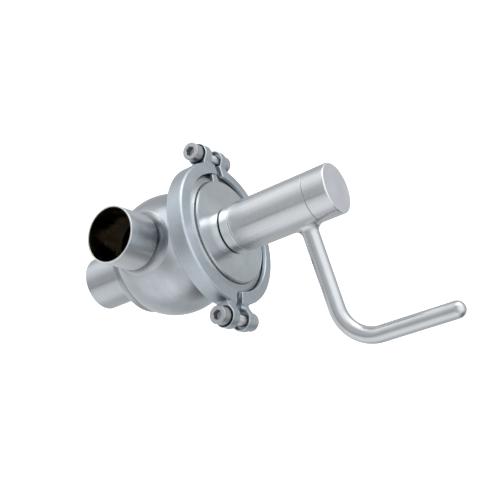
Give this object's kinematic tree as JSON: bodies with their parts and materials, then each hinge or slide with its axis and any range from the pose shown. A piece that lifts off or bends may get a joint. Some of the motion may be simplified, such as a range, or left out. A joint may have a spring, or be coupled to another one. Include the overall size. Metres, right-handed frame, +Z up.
{
  "type": "three-way plug valve",
  "caption": "Stainless three-way plug valve: round body with bottom and side tube ports, split clamp, stem hub and bent rod handle that turns the plug.",
  "frame": {"origin": "centre of the bottom port's end face, which the valve stands on", "axes": "+Z up the stem towards the handle; +X out of the side port that the clamp screw heads face"},
  "size_m": [0.18, 0.2164, 0.3351],
  "materials": {
    "cast_stainless": "bead-blasted investment casting",
    "brushed_stainless": "satin, brushed along its length",
    "polished_stainless": "fine turned, near mirror",
    "fastener_stainless": "plain stainless fastener",
    "elastomer": "matt",
    "fluoropolymer": "matt white"
  },
  "bodies": {
    "valve": {"valve_body": "cast_stainless", "side_tube_front": "brushed_stainless", "side_tube_rear": "brushed_stainless", "bottom_tube": "brushed_stainless", "side_weld_front": "cast_stainless", "side_weld_rear": "cast_stainless", "bottom_weld": "cast_stainless", "thrust_washer": "fluoropolymer", "bonnet": "polished_stainless", "bonnet_seal": "elastomer", "gland_ring": "polished_stainless", "stem_oring_lower": "elastomer", "stem_oring_upper": "elastomer", "clamp_half_front": "cast_stainless", "clamp_half_rear": "cast_stainless", "clamp_screw_left": "fastener_stainless", "clamp_screw_right": "fastener_stainless", "screw_washer_left": "fastener_stainless", "screw_washer_right": "fastener_stainless"},
    "turning_group": {"plug": "polished_stainless", "stem": "brushed_stainless", "drive_key": "fastener_stainless", "handle_hub": "brushed_stainless", "handle_weld": "cast_stainless", "handle_rod": "brushed_stainless", "stem_washer": "fastener_stainless", "stem_nut": "fastener_stainless", "end_cap": "brushed_stainless"}
  },
  "joints": [
    {"name": "handle_turn", "type": "hinge", "parent": "valve", "child": "turning_group", "pos_m": [0, 0, 0.09], "axis": [0, 0, 1], "range_deg": [-107.1, 72.9]}
  ]
}
